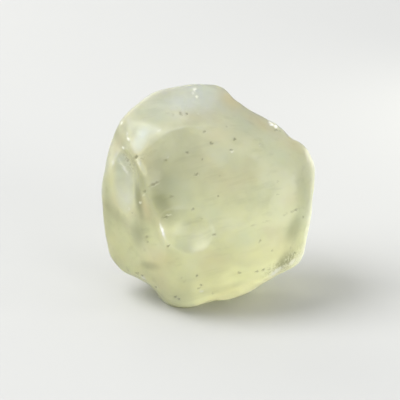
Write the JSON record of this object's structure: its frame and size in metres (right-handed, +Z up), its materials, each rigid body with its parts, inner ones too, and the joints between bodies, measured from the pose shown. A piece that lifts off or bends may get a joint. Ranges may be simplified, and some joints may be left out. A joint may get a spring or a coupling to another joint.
{
  "type": "libyan desert glass nodule",
  "caption": "Wind-worn lump of translucent pale yellow desert glass, with struck hollows and a small flat spot that it stands on, for display as a specimen.",
  "frame": {"origin": "middle of the bounding box's underside, on the plane of the flat spot that the lump stands on", "axes": "+Z up from the flat spot; the broad face looks along -Y and leans back 20 degrees; +X is to the right of that face"},
  "size_m": [0.0512, 0.0396, 0.0513],
  "materials": {
    "desert_glass": "frosted"
  },
  "bodies": {
    "root": {"glass_nodule": "desert_glass"}
  },
  "joints": []
}
